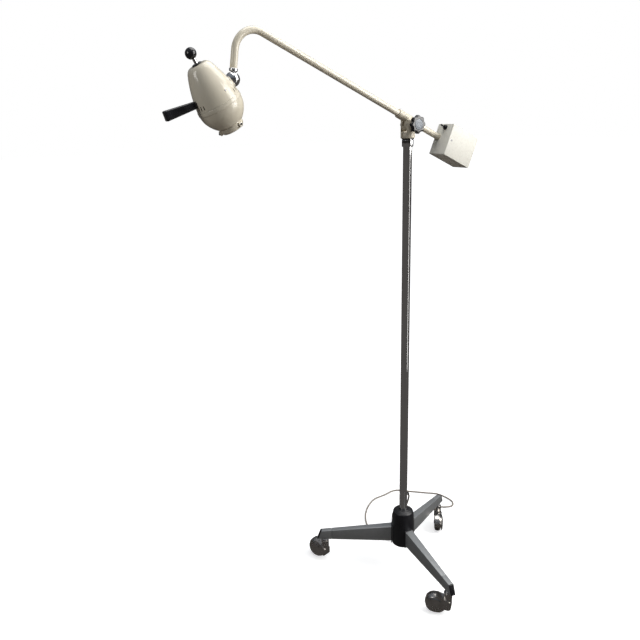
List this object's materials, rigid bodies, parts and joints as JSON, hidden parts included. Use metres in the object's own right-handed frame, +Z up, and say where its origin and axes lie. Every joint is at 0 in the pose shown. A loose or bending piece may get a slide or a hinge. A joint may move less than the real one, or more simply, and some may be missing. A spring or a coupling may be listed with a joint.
{
  "type": "surgical light",
  "caption": "Mobile examination light: castor stand, chrome pole, counterbalanced tilting boom with transformer box, and a focusing lamp head on a knuckle.",
  "frame": {"origin": "bottom centre of the light without its mains lead, on the floor", "axes": "+Z up along the pole; the boom lies in the XZ plane at rest, lamp head towards -X, transformer box towards +X"},
  "size_m": [1.2889, 0.7601, 1.9587],
  "materials": {
    "cream_enamel": "smooth cream stove enamel",
    "cream_casting": "cream paint on cast metal",
    "box_paint": "fine textured off-white paint",
    "chrome": "bright polished chrome",
    "silver_leg_paint": "satin silver-grey paint",
    "black_plastic": "satin black moulding",
    "black_knob": "glossy black moulding",
    "wheel_brown": "dark brown grey moulded wheel",
    "steel": "turned steel",
    "lens_glass": "clear polished lens",
    "mirror": "silvered reflector",
    "lamp_ceramic": "ceramic lamp holder",
    "core_iron": "varnished laminated iron",
    "coil_wrap": "taped copper winding",
    "cord_grey": "grey-beige flexible sheath"
  },
  "bodies": {
    "stand": {"hub_core": "steel", "hub_cover": "black_plastic", "hub_plate": "steel", "leg_left": "silver_leg_paint", "leg_front": "silver_leg_paint", "leg_back": "silver_leg_paint", "leg_cap_left": "black_plastic", "leg_cap_front": "black_plastic", "leg_cap_back": "black_plastic", "caster_stem_left": "steel", "caster_stem_front": "steel", "caster_stem_back": "steel", "pole": "chrome", "pole_collar": "chrome", "swivel_washer": "black_plastic", "cord_gland": "black_plastic", "cord": "cord_grey", "cord_coil": "cord_grey", "plug": "black_plastic"},
    "caster_left": {"caster_hood_left": "chrome", "caster_axle_left": "steel"},
    "wheel_left": {"caster_wheel_left": "wheel_brown"},
    "caster_front": {"caster_hood_front": "chrome", "caster_axle_front": "steel"},
    "wheel_front": {"caster_wheel_front": "wheel_brown"},
    "caster_back": {"caster_hood_back": "chrome", "caster_axle_back": "steel"},
    "wheel_back": {"caster_wheel_back": "wheel_brown"},
    "fork": {"clamp_fork": "cream_casting", "hinge_bolt": "steel"},
    "star_knob": {"star_knob": "black_knob", "knob_cap": "steel"},
    "boom": {"boom_tube": "cream_enamel", "boom_sleeve": "cream_casting", "neck_collar": "chrome", "box_shell": "box_paint", "box_cover": "box_paint", "cover_screw": "steel", "transformer_core": "core_iron", "transformer_coil": "coil_wrap", "switch_body": "black_plastic"},
    "switch_lever": {"switch_lever": "black_plastic"},
    "knuckle": {"knuckle_tongue": "chrome"},
    "head": {"knuckle_dome": "chrome", "knuckle_pin": "steel", "head_upper": "cream_enamel", "head_lower": "cream_enamel", "light_exit_ring": "cream_enamel", "exit_screw_0": "black_plastic", "exit_screw_1": "black_plastic", "exit_screw_2": "black_plastic", "front_lens": "lens_glass", "reflector": "mirror", "focus_plate": "black_plastic", "handle": "black_knob", "handle_bolt": "steel"},
    "focus": {"focus_stem": "chrome", "focus_knob": "black_knob", "lamp_holder": "lamp_ceramic", "bulb": "lens_glass"}
  },
  "joints": [
    {"name": "caster_swivel_left", "type": "hinge", "parent": "stand", "child": "caster_left", "pos_m": [0.00825, 0.22766, 0.075], "axis": [0, 0, 1], "continuous": true},
    {"name": "wheel_spin_left", "type": "hinge", "parent": "caster_left", "child": "wheel_left", "pos_m": [-0.00069, 0.26972, 0.036], "axis": [-0.9781, -0.2079, 0], "continuous": true},
    {"name": "caster_swivel_front", "type": "hinge", "parent": "stand", "child": "caster_front", "pos_m": [0.19751, -0.27852, 0.075], "axis": [0, 0, 1], "continuous": true},
    {"name": "wheel_spin_front", "type": "hinge", "parent": "caster_front", "child": "wheel_front", "pos_m": [0.17163, -0.24418, 0.036], "axis": [-0.7986, -0.6018, 0], "continuous": true},
    {"name": "caster_swivel_back", "type": "hinge", "parent": "stand", "child": "caster_back", "pos_m": [0.54124, 0.13846, 0.075], "axis": [0, 0, 1], "continuous": true},
    {"name": "wheel_spin_back", "type": "hinge", "parent": "caster_back", "child": "wheel_back", "pos_m": [0.51303, 0.10601, 0.036], "axis": [0.7547, -0.6561, 0], "continuous": true},
    {"name": "boom_swivel", "type": "hinge", "parent": "stand", "child": "fork", "pos_m": [0.249, 0.0292, 1.655], "axis": [0, 0, 1], "range_deg": [-170, 170]},
    {"name": "star_knob_turn", "type": "hinge", "parent": "fork", "child": "star_knob", "pos_m": [0.249, 0.0292, 1.69], "axis": [0, -1, 0], "range_deg": [0, 270]},
    {"name": "boom_tilt", "type": "hinge", "parent": "fork", "child": "boom", "pos_m": [0.249, 0.0292, 1.69], "axis": [0, 1, 0], "range_deg": [-45, 20]},
    {"name": "switch_toggle", "type": "hinge", "parent": "boom", "child": "switch_lever", "pos_m": [0.39618, 0.0072, 1.67668], "axis": [0, 1, 0], "range_deg": [-12, 12]},
    {"name": "head_swivel", "type": "hinge", "parent": "boom", "child": "knuckle", "pos_m": [-0.37113, 0.0292, 1.82308], "axis": [0.1621, 0, 0.9868], "range_deg": [-135, 135]},
    {"name": "head_tilt", "type": "hinge", "parent": "knuckle", "child": "head", "pos_m": [-0.37113, 0.0292, 1.82308], "axis": [0, 1, 0], "range_deg": [-60, 45]},
    {"name": "focus_slide", "type": "slide", "parent": "head", "child": "focus", "axis": [-0.4897, 0, 0.8719], "range_m": [-0.008, 0.008]}
  ]
}
